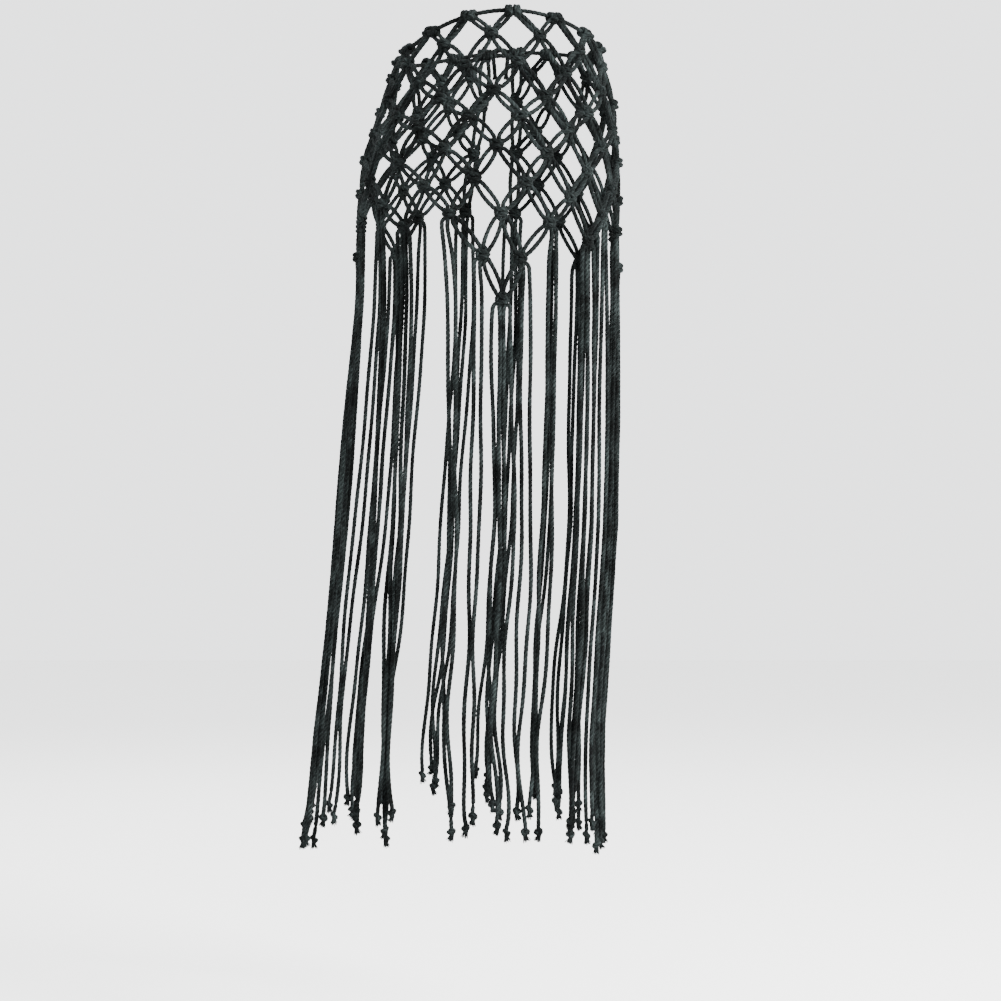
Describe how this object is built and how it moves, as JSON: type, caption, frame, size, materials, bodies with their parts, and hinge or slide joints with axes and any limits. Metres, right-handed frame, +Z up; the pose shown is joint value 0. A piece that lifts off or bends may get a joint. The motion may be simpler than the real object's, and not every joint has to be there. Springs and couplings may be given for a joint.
{
  "type": "macrame fringe belt",
  "caption": "Hip belt of charcoal cotton cord: a diamond net of square knots hung from a waist cord, pointed at its lower edge, with long knotted fringe.",
  "frame": {"origin": "the middle of the ring that the waist cord makes round the hips, where the wearer holds the belt up", "axes": "+Z up along the hanging fringe; the near side of the belt, with the deep point of the net, faces -Y; +X is to the right as the near side is looked at"},
  "size_m": [0.314, 0.3247, 0.8294],
  "materials": {
    "waist_cord": "matte twisted cotton cord",
    "net_cord": "matte twisted cotton cord, doubled and square-knotted",
    "fringe_cord": "matte twisted cotton cord, frayed below its end knots"
  },
  "bodies": {
    "root": {"waist_cord": "waist_cord", "waist_tie": "waist_cord", "net_front": "net_cord", "net_front_right": "net_cord", "net_right": "net_cord", "net_back_right": "net_cord", "net_front_left": "net_cord", "net_left": "net_cord", "net_back_left": "net_cord", "fringe_middle": "fringe_cord", "fringe_left_15": "fringe_cord", "fringe_left_13": "fringe_cord", "fringe_left_12": "fringe_cord", "fringe_left_11": "fringe_cord", "fringe_left_9": "fringe_cord", "fringe_left_8": "fringe_cord", "fringe_left_7": "fringe_cord", "fringe_left_5": "fringe_cord", "fringe_left_4": "fringe_cord", "fringe_left_2": "fringe_cord", "fringe_left_1": "fringe_cord", "fringe_right_1": "fringe_cord", "fringe_right_2": "fringe_cord", "fringe_right_4": "fringe_cord", "fringe_right_5": "fringe_cord", "fringe_right_7": "fringe_cord", "fringe_right_8": "fringe_cord", "fringe_right_9": "fringe_cord", "fringe_right_11": "fringe_cord", "fringe_right_12": "fringe_cord", "fringe_right_13": "fringe_cord", "fringe_right_15": "fringe_cord"}
  },
  "joints": []
}
